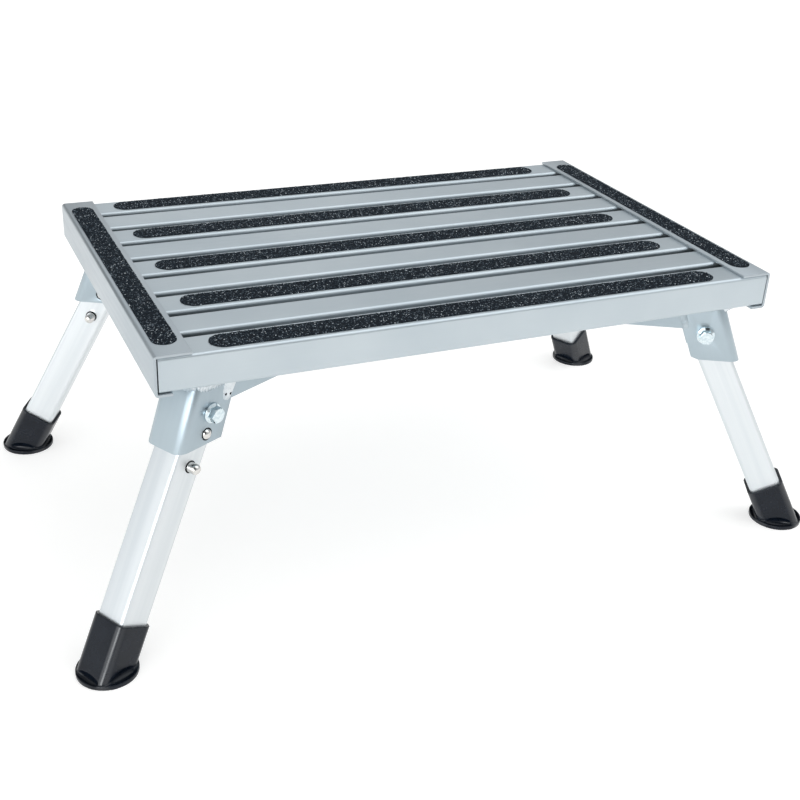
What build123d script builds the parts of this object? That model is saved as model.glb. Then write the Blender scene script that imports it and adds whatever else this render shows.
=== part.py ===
from build123d import *
from math import atan2, cos, degrees, radians, sin, tan
import os

# Caravan entry step: a slatted deck on four folding legs. Millimetres, +Z up, +X along the deck.
# The origin is on the ground under the middle of the deck, and the front is towards -Y.

# Deck
deck_length = 480.0
deck_height = 224.3
rail_count = 9
rail_pitch = 35.25
rail_width = 28.0
rail_height = 24.8
rail_wall = 1.6
rail_round = 2.5
channel_sheet = 2.0
channel_top_width = 25.3
channel_bottom_width = 12.0
rail_end_gap = 0.8
rail_under_gap = 0.5

# Grit strips
grit_thickness = 0.9
grit_width = 20.0
grit_end_margin = 17.5
grit_shift = 3.0
end_grit_width = 17.0
end_grit_margin = 15.0

# Leg hinge
fold_turn = 28.2
leg_lean = 27.75
pivot_inset_x = 32.5
pivot_inset_y = 29.0
pivot_drop = 26.5
leg_size = 25.0
leg_wall = 2.0
leg_round = 3.0
leg_above_pivot = 11.0

# Bracket and brace
bracket_sheet = 3.0
bracket_bend = 7.5
bracket_lean = 21.5
bracket_drop = 21.3
bracket_inner_edge = 15.0
bracket_corner_run = 5.0
bracket_corner_rise = 2.2
web_clearance = 17.6
washer_thickness = 1.6
washer_diameter = 18.0
brace_height = 22.0
brace_length = 95.0

# Bolt and nut
bolt_diameter = 6.0
bolt_play = 0.08
hex_flats = 10.0
head_height = 6.6
head_flange_diameter = 14.2
head_flange_edge = 1.2
head_flange_slope = 25.0
nut_height = 4.6
nut_collar_height = 1.4
nut_collar_diameter = 8.9
bolt_tail = 2.0

# Buttons and their spring
button_diameter = 7.5
button_play = 0.85
button_inset = 1.7
lock_hole_diameter = 9.2
lock_drop = 14.8
release_drop = 39.7
lock_proud = 2.6
release_proud = 8.5
button_dome = 2.3
strip_thickness = 0.8
strip_width = 12.0
strip_margin = 7.0

# Boot
boot_wall = 2.5
boot_round = 6.0
boot_height = 39.0
boot_sole = 11.5
boot_base_radius = 21.5
boot_base_inset = 2.3
boot_rim_height = 3.2
boot_rim_land = 0.8
boot_cove = 6.2

# Values that follow from the ones above
deck_width = (rail_count - 1) * rail_pitch + rail_width
rail_length = deck_length - 2 * (channel_sheet + rail_end_gap)
rail_top = deck_height - channel_sheet
rail_bottom = rail_top - rail_height
channel_height = channel_sheet + rail_height + rail_under_gap + channel_sheet
channel_inner_bend = 0.75 * rail_end_gap
channel_outer_bend = channel_inner_bend + channel_sheet
pivot_x = deck_length / 2 - pivot_inset_x
pivot_y = deck_width / 2 - pivot_inset_y
pivot_z = rail_bottom - pivot_drop
leg_reach = pivot_z / cos(radians(leg_lean))
flange_inside = leg_size / 2 + washer_thickness
flange_outside = flange_inside + bracket_sheet
bore_radius = bolt_diameter / 2 + bolt_play
tube_inside = leg_size / 2 - leg_wall
strip_start = lock_drop - strip_margin
strip_end = release_drop + strip_margin
far = 400.0


def bar_y(radius, low, high):
    """A round bar along Y from low to high."""
    bar = extrude(Plane.XZ * Circle(radius), amount=-(high - low))
    return Pos(0, low, 0) * bar


def prism_xz(points, half_depth):
    """A prism across Y from an outline in X and Z."""
    return extrude(Plane.XZ * Polygon(*points, align=None), amount=half_depth, both=True)


def leaned(shape, angle):
    """A piece built straight down, leaned outward about the pivot."""
    return Rot(0, -angle, 0) * shape


def corner_place(side_x, side_y):
    """The place of a leg's pivot, with local X pointing outward in the plane it folds in."""
    turn = radians(fold_turn)
    angle = degrees(atan2(side_y * sin(turn), side_x * cos(turn)))
    return Location((side_x * pivot_x, side_y * pivot_y, pivot_z), (0, 0, angle))


def rail(position):
    """One box-section rail along the deck."""
    outside = RectangleRounded(rail_width, rail_height, rail_round)
    inside = Rectangle(rail_width - 2 * rail_wall, rail_height - 2 * rail_wall)
    section = Plane.YZ * (outside - inside)
    tube = extrude(section, amount=rail_length / 2, both=True)
    y = (position - (rail_count - 1) / 2) * rail_pitch
    return Pos(0, y, rail_bottom + rail_height / 2) * tube


def end_channel(side):
    """The folded sheet that wraps the rail ends, open towards the middle of the deck."""
    outer_x = deck_length / 2
    low = deck_height - channel_height
    web = Pos(outer_x - channel_top_width / 2, deck_height - channel_height / 2)
    outside = web * Rectangle(channel_top_width, channel_height)
    outside = fillet(outside.vertices().group_by(Axis.X)[-1], channel_outer_bend)
    room = Pos(outer_x - channel_sheet - far / 2, low + channel_height / 2)
    inside = room * Rectangle(far, channel_height - 2 * channel_sheet)
    inside = fillet(inside.vertices().group_by(Axis.X)[-1], channel_inner_bend)
    cut_width = channel_top_width - channel_bottom_width
    cut_x = outer_x - channel_bottom_width - cut_width / 2
    trim = Pos(cut_x, low) * Rectangle(cut_width, 2 * channel_sheet + 1)
    section = outside - inside - trim
    sheet = extrude(Plane.XZ * section, amount=deck_width / 2, both=True)
    return sheet if side > 0 else Rot(0, 0, 180) * sheet


def long_grit(position):
    """A grit strip with round ends on top of a rail."""
    length = deck_length - 2 * (channel_top_width + grit_end_margin)
    y = (position - (rail_count - 1) / 2) * rail_pitch
    return Pos(-grit_shift, y, rail_top) * extrude(SlotOverall(length, grit_width), amount=grit_thickness)


def end_grit(side):
    """The wide grit strip on top of an end channel."""
    length = deck_width - 2 * end_grit_margin
    outline = Rot(0, 0, 90) * SlotOverall(length, end_grit_width)
    x = side * (deck_length / 2 - channel_top_width / 2)
    return Pos(x, 0, deck_height) * extrude(outline, amount=grit_thickness)


def bracket():
    """The U of sheet that holds the leg: a leaning web outside and two flanges, one with its corner cut."""
    web_outside = web_clearance + bracket_sheet
    width = web_outside + bracket_inner_edge
    middle = (web_outside - bracket_inner_edge) / 2
    outside = Pos(middle, 0) * Rectangle(width, 2 * flange_outside)
    outside = fillet(outside.vertices().group_by(Axis.X)[-1], bracket_bend)
    inside = Pos(web_clearance - far / 2, 0) * Rectangle(far, 2 * flange_inside)
    inside = fillet(inside.vertices().group_by(Axis.X)[-1], bracket_bend - bracket_sheet)
    sheet = leaned(extrude(outside - inside, amount=far / 2, both=True), bracket_lean)
    sheet &= Pos(0, 0, (pivot_drop - bracket_drop) / 2) * Box(far, far, pivot_drop + bracket_drop)
    slope = radians(bracket_lean)
    corner = (bracket_drop * sin(slope) - bracket_inner_edge) / cos(slope)
    edge_step = bracket_corner_rise * tan(slope)
    cut_corner = prism_xz(
        [
            (corner - far, -bracket_drop - 1),
            (corner + bracket_corner_run, -bracket_drop - 1),
            (corner + bracket_corner_run, -bracket_drop),
            (corner - edge_step, bracket_corner_rise - bracket_drop),
            (corner - far, bracket_corner_rise - bracket_drop),
        ],
        far / 4,
    )
    sheet -= Pos(0, -far / 4, 0) * cut_corner
    sheet -= bar_y(bore_radius, -far / 2, far / 2)
    lock_hole = Pos(-button_inset, 0, -lock_drop) * bar_y(lock_hole_diameter / 2, 0, far / 2)
    return sheet - leaned(lock_hole, leg_lean)


def brace():
    """The channel under the slats that runs inward from the bracket's inner edge."""
    low = pivot_drop - brace_height
    start = -bracket_inner_edge - brace_length
    bar = Pos(start / 2, 0, pivot_drop - brace_height / 2) * Box(-start, 2 * flange_outside, brace_height)
    room_height = brace_height - bracket_sheet
    room = Pos(start / 2, 0, low + room_height / 2) * Box(-start, 2 * flange_inside, room_height)
    past_edge = Pos(far / 2 - bracket_inner_edge, 0, 0) * Box(far, far, far)
    return bar - room - leaned(past_edge, bracket_lean)


def leg_tube():
    """The square tube, with the bolt's hole through it and two button holes in one wall."""
    length = leg_above_pivot + leg_reach - boot_sole
    inside = Rectangle(2 * tube_inside, 2 * tube_inside)
    section = RectangleRounded(leg_size, leg_size, leg_round) - inside
    tube = Pos(0, 0, leg_above_pivot - length) * extrude(section, amount=length)
    tube -= bar_y(bore_radius, -leg_size, leg_size)
    for drop in (lock_drop, release_drop):
        tube -= Pos(-button_inset, 0, -drop) * bar_y(button_diameter / 2 + button_play, 0, leg_size)
    return leaned(tube, leg_lean)


def hinge_washers():
    """The two flat washers between the tube and the flanges."""
    ring = bar_y(washer_diameter / 2, leg_size / 2, flange_inside)
    ring -= bar_y(bore_radius, 0, leg_size)
    return Compound(children=[ring, Rot(0, 0, 180) * ring])


def hex_prism(height):
    """A hexagon bar along +Z with its outer corners rounded off at the top."""
    across_corners = hex_flats / cos(radians(30))
    bar = extrude(RegularPolygon(hex_flats / 2, 6, major_radius=False), amount=height)
    blank = Pos(0, 0, height / 2) * Cylinder(across_corners / 2, height)
    return bar & chamfer(blank.edges().group_by(Axis.Z)[-1], hex_flats * 0.08, hex_flats * 0.045)


def pivot_bolt(head_side):
    """The bolt through both flanges, its hex head with a round flange outside one of them."""
    nut_end = flange_outside + nut_height + nut_collar_height + bolt_tail
    edge = head_flange_diameter / 2
    cone_height = (edge - hex_flats / 2) * tan(radians(head_flange_slope))
    head = hex_prism(head_height)
    head += Pos(0, 0, head_flange_edge / 2) * Cylinder(edge, head_flange_edge)
    head += Pos(0, 0, head_flange_edge + cone_height / 2) * Cone(edge, hex_flats / 2, cone_height)
    head = Pos(0, flange_outside, 0) * (Rot(-90, 0, 0) * head)
    bolt = head + bar_y(bolt_diameter / 2, -nut_end, flange_outside)
    return bolt if head_side > 0 else Rot(0, 0, 180) * bolt


def lock_nut(head_side):
    """The nut at the other end of the bolt, with a round locking collar."""
    nut = hex_prism(nut_height)
    nut += Pos(0, 0, nut_height) * extrude(Circle(nut_collar_diameter / 2), amount=nut_collar_height)
    nut -= Cylinder(bore_radius, 4 * nut_height)
    nut = Pos(0, -flange_outside, 0) * (Rot(90, 0, 0) * nut)
    return nut if head_side > 0 else Rot(0, 0, 180) * nut


def button(drop, tip):
    """One round button with a domed end."""
    radius = button_diameter / 2
    dome_radius = (radius**2 + button_dome**2) / (2 * button_dome)
    pin = bar_y(radius, tube_inside - strip_thickness, tip)
    pin &= Pos(0, tip - dome_radius, 0) * Sphere(dome_radius) + bar_y(radius, 0, tip - button_dome)
    return Pos(-button_inset, 0, -drop) * pin


def button_strip():
    """The sprung strip inside the tube with the lock button above and the release button below."""
    length = strip_end - strip_start
    strip = Box(strip_width, strip_thickness, length)
    strip = Pos(0, tube_inside - strip_thickness / 2, -strip_start - length / 2) * strip
    strip += button(lock_drop, flange_outside + lock_proud)
    strip += button(release_drop, leg_size / 2 + release_proud)
    return leaned(strip, leg_lean)


def back_spring():
    """The bend below the strip and the leaf that bears on the opposite wall."""
    bend = Circle(tube_inside) - Circle(tube_inside - strip_thickness)
    bend -= Pos(0, tube_inside) * Rectangle(4 * tube_inside, 2 * tube_inside)
    leaf_length = strip_end - lock_drop
    leaf = Pos(strip_thickness / 2 - tube_inside, leaf_length / 2) * Rectangle(strip_thickness, leaf_length)
    spring = extrude(Plane.YZ * (bend + leaf), amount=strip_width / 2, both=True)
    return leaned(Pos(0, 0, -strip_end) * spring, leg_lean)


def boot():
    """The rubber boot: a square sleeve that grows out of a round flared base, level with the ground."""
    size = leg_size + 2 * boot_wall
    below = leg_reach + size
    sleeve = extrude(RectangleRounded(size, size, boot_round), amount=boot_height + size)
    sleeve = leaned(Pos(0, 0, -below) * sleeve, leg_lean)
    centre = Pos(pivot_z * tan(radians(leg_lean)) - boot_base_inset, 0, -pivot_z)
    sleeve -= centre * (Pos(0, 0, -far / 2) * Box(far, far, far))
    ring = Box(far, far, 2 * boot_rim_height) - Cylinder(boot_base_radius, 4 * boot_rim_height)
    sleeve -= centre * ring
    edge = boot_base_radius - boot_rim_land
    top = boot_rim_height + boot_cove
    side = Polyline((0, top), (0, 0), (boot_base_radius, 0), (boot_base_radius, boot_rim_height))
    land = Line((boot_base_radius, boot_rim_height), (edge, boot_rim_height))
    cove = RadiusArc((edge, boot_rim_height), (edge - boot_cove, top), boot_cove)
    close = Line((edge - boot_cove, top), (0, top))
    base = revolve(Plane.XZ * make_face([side, land, cove, close]), axis=Axis.Z)
    socket = extrude(RectangleRounded(leg_size, leg_size, leg_round), amount=far)
    socket = leaned(Pos(0, 0, boot_sole - leg_reach) * socket, leg_lean)
    return sleeve + centre * base - socket


parts = {}
for side, name in ((-1, "left"), (1, "right")):
    parts["end_channel_" + name] = end_channel(side)
    parts["end_grit_" + name] = end_grit(side)

rail_names = ["front_rail"] + ["slat_" + str(n) for n in range(1, rail_count - 1)] + ["back_rail"]
for position, name in enumerate(rail_names):
    parts[name] = rail(position)
    if position % 2 == 0:
        parts["grit_" + name] = long_grit(position)

corners = {"front_left": (-1, -1), "front_right": (1, -1), "back_right": (1, 1), "back_left": (-1, 1)}
for corner, (side_x, side_y) in corners.items():
    place = corner_place(side_x, side_y)
    head_side = side_x * side_y
    parts["bracket_" + corner] = place * bracket()
    parts["brace_" + corner] = place * brace()
    parts["pivot_bolt_" + corner] = place * pivot_bolt(head_side)
    parts["lock_nut_" + corner] = place * lock_nut(head_side)
    parts["leg_tube_" + corner] = place * leg_tube()
    parts["hinge_washers_" + corner] = place * hinge_washers()
    parts["back_spring_" + corner] = place * back_spring()
    parts["boot_" + corner] = place * boot()
    parts["button_strip_" + corner] = place * button_strip()

os.makedirs("parts", exist_ok=True)
for name, shape in parts.items():
    export_step(shape, "parts/" + name + ".step")
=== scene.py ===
"""Looks of the caravan entry step: coated deck, welded hinge brackets, drawn legs, boots and grit strips."""

import logging
import math
from collections.abc import Mapping, Sequence
from dataclasses import dataclass, field, replace
from enum import Enum
from typing import Any

import bmesh
import bpy
from mathutils import Matrix, Vector


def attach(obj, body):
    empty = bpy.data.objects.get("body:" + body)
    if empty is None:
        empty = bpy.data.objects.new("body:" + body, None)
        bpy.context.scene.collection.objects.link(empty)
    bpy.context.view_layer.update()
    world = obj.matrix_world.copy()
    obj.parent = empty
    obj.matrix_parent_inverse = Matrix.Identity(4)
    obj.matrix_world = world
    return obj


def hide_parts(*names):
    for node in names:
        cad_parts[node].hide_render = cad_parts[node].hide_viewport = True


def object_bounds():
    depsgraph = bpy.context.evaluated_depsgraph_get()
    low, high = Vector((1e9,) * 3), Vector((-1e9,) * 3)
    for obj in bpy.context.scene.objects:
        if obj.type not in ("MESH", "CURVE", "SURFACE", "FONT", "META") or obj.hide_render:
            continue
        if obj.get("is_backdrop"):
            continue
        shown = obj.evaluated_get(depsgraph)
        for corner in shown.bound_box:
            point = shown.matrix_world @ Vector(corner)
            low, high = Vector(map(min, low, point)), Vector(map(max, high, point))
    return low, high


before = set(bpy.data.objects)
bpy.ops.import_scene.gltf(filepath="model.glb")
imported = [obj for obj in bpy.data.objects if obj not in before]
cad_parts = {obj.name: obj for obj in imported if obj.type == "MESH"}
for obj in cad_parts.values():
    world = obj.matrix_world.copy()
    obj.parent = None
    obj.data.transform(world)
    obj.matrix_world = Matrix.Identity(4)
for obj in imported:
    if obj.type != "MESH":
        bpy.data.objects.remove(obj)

logging.basicConfig(level=logging.INFO, format="%(name)s: %(message)s")
log = logging.getLogger("entry_step")

Pair = tuple[float, float]
Line = list[tuple[Vector, Vector]]
Skin = dict[str, Any]
Mesh = bpy.types.Mesh
Tree = bpy.types.NodeTree
Socket = bpy.types.NodeSocket

MM = 0.001
DRAWN = "drawn_mm"
TONE = "grain_tone"
WEAR = "wear"
PLATFORM = "platform"
QUARTER = math.radians(90)
STAY = Matrix.Identity(4)
HALF_TURN = Matrix.Rotation(math.pi, 4, "Z")
# Lays what is built up Z along Y.
ALONG_Y = Matrix.Rotation(-QUARTER, 4, "X")
# How many chords make the arc of a bend.
BEND_STEPS = 8
# How much sheared sheet, sawn tube and turned steel lose at their edges, in millimetres.
SHEET_EDGE, TUBE_EDGE, STEEL_EDGE = 0.3, 0.25, 0.15
# The clearance of the bolt in its holes, in millimetres.
PLAY = 0.08


class Slot(Enum):
    """The record's material slots."""

    DECK = "deck_metal"
    BRACKET = "bracket_metal"
    LEG = "leg_metal"
    ZINC = "zinc_steel"
    BUTTON = "button_steel"
    WASHER = "washer_plastic"
    BOOT = "boot_rubber"
    GRIT = "grit"


class Corner(Enum):
    """The four leg stations, as the signs of their X and Y."""

    FRONT_LEFT = (-1, -1)
    FRONT_RIGHT = (1, -1)
    BACK_RIGHT = (1, 1)
    BACK_LEFT = (-1, 1)

    @property
    def label(self) -> str:
        """The corner's name as the nodes and bodies use it."""
        return self.name.lower()

    @property
    def head_side(self) -> int:
        """Which end of the pivot the bolt's head is on: 1 on the button side, -1 opposite."""
        return self.value[0] * self.value[1]

    @property
    def seed(self) -> int:
        """A fixed number for what is uneven at this corner."""
        return list(Corner).index(self) + 1


def linear(code: str) -> tuple[float, float, float, float]:
    """Turns an sRGB hex colour to linear light.

    Args:
        code: The colour as "#RRGGBB".

    Returns:
        Red, green and blue in linear light, and full alpha.
    """
    parts = [int(code[start : start + 2], 16) / 255 for start in (1, 3, 5)]
    red, green, blue = [p / 12.92 if p <= 0.04045 else ((p + 0.055) / 1.055) ** 2.4 for p in parts]
    return red, green, blue, 1.0


def add_node(
    tree: Tree, kind: str, inputs: Mapping[Any, Any] | None = None, out: str = "", **settings: Any
) -> Socket | None:
    """Adds one node with its settings, values and links.

    Args:
        tree: The tree that gets the node.
        kind: Blender's name for the node type.
        inputs: A value, an output socket or a list of them, by the input's name or number.
        out: The name of the output to return, where it isn't the first.
        settings: The node's own properties.

    Returns:
        The node's named output or its first one in use, or None from an end node.
    """
    node = tree.nodes.new(kind)
    for name, value in settings.items():
        setattr(node, name, value)
    for key, given in (inputs or {}).items():
        for value in given if isinstance(given, list) else [given]:
            if isinstance(value, Socket):
                tree.links.new(value, node.inputs[key])
            else:
                node.inputs[key].default_value = value
    return node.outputs[out] if out else next((socket for socket in node.outputs if socket.enabled), None)


def mottled(
    tree: Tree,
    tint_by: Socket,
    gloss_by: Socket,
    tints: tuple[str, str],
    gloss: Pair,
    reach: Pair = (0.3, 0.7),
) -> Skin:
    """Lets patterns vary a finish's colour and roughness.

    Args:
        tree: The material's nodes.
        tint_by: The pattern that the colour follows.
        gloss_by: The pattern that the roughness follows.
        tints: The colours at the low and the high end of the first.
        gloss: The roughness at the low and the high end of the second.
        reach: Where on the first pattern its two ends are.

    Returns:
        The shader's colour and roughness.
    """
    tint = add_node(tree, "ShaderNodeValToRGB", {"Fac": tint_by})
    for stop, spot, code in zip(tint.node.color_ramp.elements, reach, tints):
        stop.position, stop.color = spot, linear(code)
    ends = {"From Min": 0.3, "From Max": 0.7, "To Min": gloss[0], "To Max": gloss[1]}
    sheen = add_node(tree, "ShaderNodeMapRange", {"Value": gloss_by} | ends)
    return {"Base Color": tint, "Roughness": sheen}


@dataclass(frozen=True)
class Finish:
    """A surface finish: its name, and the nodes that make it."""

    name: str

    def material(self) -> bpy.types.Material:
        """Builds the finish's material the first time that it is asked for.

        Returns:
            The material.
        """
        made = bpy.data.materials.get(self.name)
        if not made:
            made = bpy.data.materials.new(self.name)
            made.use_nodes = True
            tree = made.node_tree
            tree.nodes.clear()
            shader = add_node(tree, "ShaderNodeBsdfPrincipled", self.skin(tree))
            add_node(tree, "ShaderNodeOutputMaterial", {"Surface": shader})
        return made

    def skin(self, tree: Tree) -> Skin:
        """Builds the finish's patterns in the tree and returns the shader's inputs."""
        raise NotImplementedError


@dataclass(frozen=True)
class CoatedAluminium(Finish):
    """Silver-coated aluminium: an even blue-grey with a soft sheen, faint drawing lines and orange peel."""

    light: str = "#C3CCD1"
    shade: str = "#BAC4CA"
    metallic: float = 0.75
    roughness: float = 0.36
    cloud_mm: float = 70.0
    line_mm: float = 1.1
    line_length_mm: float = 260.0
    peel_mm: float = 1.6
    lump_mm: float = 0.0
    lump_share: float = 12.0
    relief_mm: float = 0.02

    def skin(self, tree: Tree) -> Skin:
        """Makes clouded colour, lined gloss, and a relief of lines, orange peel and lumps.

        Args:
            tree: The material's nodes.

        Returns:
            The shader's inputs.
        """
        where = add_node(tree, "ShaderNodeAttribute", out="Vector", attribute_name=DRAWN)
        clouds, peel = (
            add_node(tree, "ShaderNodeTexNoise", {"Vector": where, "Scale": 1 / size, "Detail": detail})
            for size, detail in ((self.cloud_mm, 3), (self.peel_mm, 1))
        )
        # Drawing lines run far along the section and are about a millimetre apart across it.
        squeeze = (1 / self.line_length_mm, 1 / self.line_mm, 1 / self.line_mm)
        along = add_node(tree, "ShaderNodeMapping", {"Vector": where, "Scale": squeeze})
        lines = add_node(tree, "ShaderNodeTexNoise", {"Vector": along, "Scale": 1.0, "Detail": 2})
        height = add_node(tree, "ShaderNodeMath", {0: lines, 1: peel}, operation="ADD")
        if self.lump_mm:
            spread = {"Vector": where, "Scale": 1 / self.lump_mm, "Detail": 3}
            lumpy = {0: add_node(tree, "ShaderNodeTexNoise", spread), 1: self.lump_share, 2: height}
            height = add_node(tree, "ShaderNodeMath", lumpy, operation="MULTIPLY_ADD")
        relief = {"Strength": 0.25, "Distance": self.relief_mm * MM, "Height": height}
        gloss = (self.roughness - 0.04, self.roughness + 0.05)
        made = mottled(tree, clouds, lines, (self.shade, self.light), gloss)
        return made | {"Metallic": self.metallic, "Normal": add_node(tree, "ShaderNodeBump", relief)}


@dataclass(frozen=True)
class RailCoat(CoatedAluminium):
    """The coat on the rails, with painted shade on the walls of the gaps that deepens toward the end
    channels.
    """

    gap_shade: str = "#2E434F"
    top: float = 222.3
    bottom: float = 197.5
    half_width: float = 155.0
    half_length: float = 240.0

    def skin(self, tree: Tree) -> Skin:
        """Makes the coat, with painted shade in the gaps over its colour.

        Args:
            tree: The material's nodes.

        Returns:
            The shader's inputs.
        """
        made = super().skin(tree)
        place = add_node(tree, "ShaderNodeAttribute", out="Vector", attribute_name=DRAWN)
        away = add_node(tree, "ShaderNodeVectorMath", {0: place}, operation="ABSOLUTE")
        spot = add_node(tree, "ShaderNodeSeparateXYZ", {"Vector": away}).node.outputs
        amount: float | Socket = 1.0
        # The tops, the undersides and the deck's outer faces get no painted shade.
        for axis, clear, thick, least in (
            ("Z", self.top - 1.5, self.top - 5.0, 0.0),
            ("Z", self.bottom + 0.5, self.bottom + 2.0, 0.0),
            ("Y", self.half_width - 2.0, self.half_width - 4.0, 0.0),
            ("X", self.half_length - 100.0, self.half_length - 28.0, 0.2),
        ):
            ramp = {"From Min": clear, "From Max": thick, "To Min": least, "To Max": 1.0}
            share = add_node(tree, "ShaderNodeMapRange", {"Value": spot[axis]} | ramp)
            amount = add_node(tree, "ShaderNodeMath", {0: share, 1: amount}, operation="MULTIPLY")
        # The gap walls are blended toward the gap shade colour as painted shade.
        layers = {"Factor": amount, "A": made["Base Color"], "B": linear(self.gap_shade)}
        return made | {"Base Color": add_node(tree, "ShaderNodeMix", layers, data_type="RGBA")}


@dataclass(frozen=True)
class AnodisedAluminium(Finish):
    """Drawn square tube, anodised in its own colour: pale and satin, with long faint streaks from the die."""

    light: str = "#DEE2E4"
    streak: str = "#D6DBDE"
    roughness: float = 0.4
    streak_mm: float = 5.0
    line_mm: float = 0.6
    length_mm: float = 400.0
    relief_mm: float = 0.015

    def skin(self, tree: Tree) -> Skin:
        """Makes die streaks in the colour and gloss, and finer lines in the relief.

        Args:
            tree: The material's nodes.

        Returns:
            The shader's inputs.
        """
        where = add_node(tree, "ShaderNodeAttribute", out="Vector", attribute_name=DRAWN)
        drawn = []
        for width, detail in ((self.streak_mm, 4), (self.line_mm, 1)):
            squeeze = (1 / self.length_mm, 1 / width, 1 / width)
            along = add_node(tree, "ShaderNodeMapping", {"Vector": where, "Scale": squeeze})
            noise = {"Vector": along, "Scale": 1.0, "Detail": detail}
            drawn.append(add_node(tree, "ShaderNodeTexNoise", noise))
        streaks, lines = drawn
        relief = {"Strength": 0.2, "Distance": self.relief_mm * MM, "Height": lines}
        gloss = (self.roughness - 0.06, self.roughness + 0.06)
        made = mottled(tree, streaks, streaks, (self.streak, self.light), gloss, (0.35, 0.62))
        return made | {"Metallic": 0.8, "Normal": add_node(tree, "ShaderNodeBump", relief)}


@dataclass(frozen=True)
class BrightSteel(Finish):
    """Plated steel: a bright metal that mirrors the room, mottled where the plating is thin."""

    light: str = "#E3EDF1"
    shade: str = "#CEDDE3"
    roughness: float = 0.1
    mottle_mm: float = 1.8

    def skin(self, tree: Tree) -> Skin:
        """Makes the plating's mottle.

        Args:
            tree: The material's nodes.

        Returns:
            The shader's inputs.
        """
        where = add_node(tree, "ShaderNodeTexCoord", out="Object")
        scale = 1 / (self.mottle_mm * MM)
        mottle = add_node(tree, "ShaderNodeTexNoise", {"Vector": where, "Scale": scale, "Detail": 2})
        gloss = (self.roughness * 0.8, self.roughness * 1.3)
        made = mottled(tree, mottle, mottle, (self.shade, self.light), gloss, (0.35, 0.65))
        return made | {"Metallic": 1.0}


@dataclass(frozen=True)
class MouldedPolymer(Finish):
    """Moulded rubber or nylon: one dark or pale colour and a satin skin with fine mould grain."""

    light: str = "#111822"
    shade: str = "#0B111A"
    roughness: float = 0.24
    gloss_level: float = 0.27
    cloud_mm: float = 14.0
    grain_mm: float = 0.9
    relief_mm: float = 0.012

    def skin(self, tree: Tree) -> Skin:
        """Makes clouded colour and gloss, and mould grain in the relief.

        Args:
            tree: The material's nodes.

        Returns:
            The shader's inputs.
        """
        where = add_node(tree, "ShaderNodeTexCoord", out="Object")
        clouds, grain = (
            add_node(tree, "ShaderNodeTexNoise", {"Vector": where, "Scale": 1 / (size * MM), "Detail": fine})
            for size, fine in ((self.cloud_mm, 4), (self.grain_mm, 2))
        )
        relief = {"Strength": 0.3, "Distance": self.relief_mm * MM, "Height": grain}
        grained = add_node(tree, "ShaderNodeBump", relief)
        gloss = (self.roughness - 0.05, self.roughness + 0.07)
        made = mottled(tree, clouds, clouds, (self.shade, self.light), gloss)
        return made | {"Specular IOR Level": self.gloss_level, "Normal": grained}


@dataclass(frozen=True)
class RubbedRubber(MouldedPolymer):
    """Moulded rubber with its upright ridges rubbed shiny."""

    worn_level: float = 0.62

    def skin(self, tree: Tree) -> Skin:
        """Makes the moulded skin, with wear in its gloss.

        Args:
            tree: The material's nodes.

        Returns:
            The shader's inputs.
        """
        worn = add_node(tree, "ShaderNodeAttribute", out="Fac", attribute_name=WEAR)
        ends = {"To Min": self.gloss_level, "To Max": self.worn_level}
        shine = add_node(tree, "ShaderNodeMapRange", {"Value": worn} | ends)
        # The even level stays on the socket for where the link is dropped.
        return super().skin(tree) | {"Specular IOR Level": [self.gloss_level, shine]}


@dataclass(frozen=True)
class MineralGrit(Finish):
    """Mineral grit in black resin: matt grains from black to slate and pale, and a few near white as painted
    glints.
    """

    resin: str = "#101820"
    grain: str = "#1F2932"
    slate: str = "#3C4750"
    pale: str = "#7D878F"
    painted_glint: str = "#DDE3E7"
    slate_share: float = 0.45
    pale_share: float = 0.2
    painted_glint_share: float = 0.04
    gloss_level: float = 0.12

    def skin(self, tree: Tree) -> Skin:
        """Makes each grain's own tone.

        Args:
            tree: The material's nodes.

        Returns:
            The shader's inputs.
        """
        tone = add_node(tree, "ShaderNodeAttribute", out="Fac", attribute_name=TONE)
        tint = add_node(tree, "ShaderNodeValToRGB", {"Fac": tone})
        stops = tint.node.color_ramp.elements
        # The near-white end of the ramp is a painted glint on the few grains that reach it.
        stops[0].color, stops[1].color = linear(self.resin), linear(self.painted_glint)
        steps = ((self.slate_share, self.grain), (self.pale_share, self.slate), (self.painted_glint_share, self.pale))
        for share, code in steps:
            stops.new(1 - share).color = linear(code)
        ends = {"From Min": 0.5, "From Max": 1.0, "To Min": 0.7, "To Max": 0.3}
        gloss = add_node(tree, "ShaderNodeMapRange", {"Value": tone} | ends)
        # Crevices between the grains hold the light, so the gloss is kept low.
        return {"Base Color": tint, "Roughness": gloss, "Specular IOR Level": self.gloss_level}


@dataclass(frozen=True)
class FloorPaper(Finish):
    """Matt floor paper with a glow of its own, which keeps it pale and its shadows soft."""

    paper: str = "#CAC8C5"
    light: str = "#FFFFFF"
    glow: float = 0.612
    roughness: float = 0.9
    gloss_level: float = 0.1

    def skin(self, tree: Tree) -> Skin:
        """Makes a surface that is the same all over, so the tree gets no pattern.

        Args:
            tree: The material's nodes.

        Returns:
            The shader's inputs.
        """
        return {
            "Base Color": linear(self.paper),
            "Roughness": self.roughness,
            "Specular IOR Level": self.gloss_level,
            "Emission Color": linear(self.light),
            "Emission Strength": self.glow,
        }


# Silver coat over extruded rails: even, with long faint die lines, and painted shade on the walls of the
# gaps.
DECK_COAT = RailCoat("silver_coated_extrusion")
# The same coat over pressed sheet: less lined, a little more orange peel.
SHEET_COAT = CoatedAluminium(
    "silver_coated_sheet", light="#B7BFC4", shade="#AFB8BE", line_mm=3.0, line_length_mm=60.0, peel_mm=1.2
)
# The coat on the hinge brackets and braces is a darker blue-grey than on the deck.
BRACKET_COAT = replace(
    SHEET_COAT, name="silver_coated_bracket", light="#AFBCC3", shade="#A5B2BA", metallic=0.9
)
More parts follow.
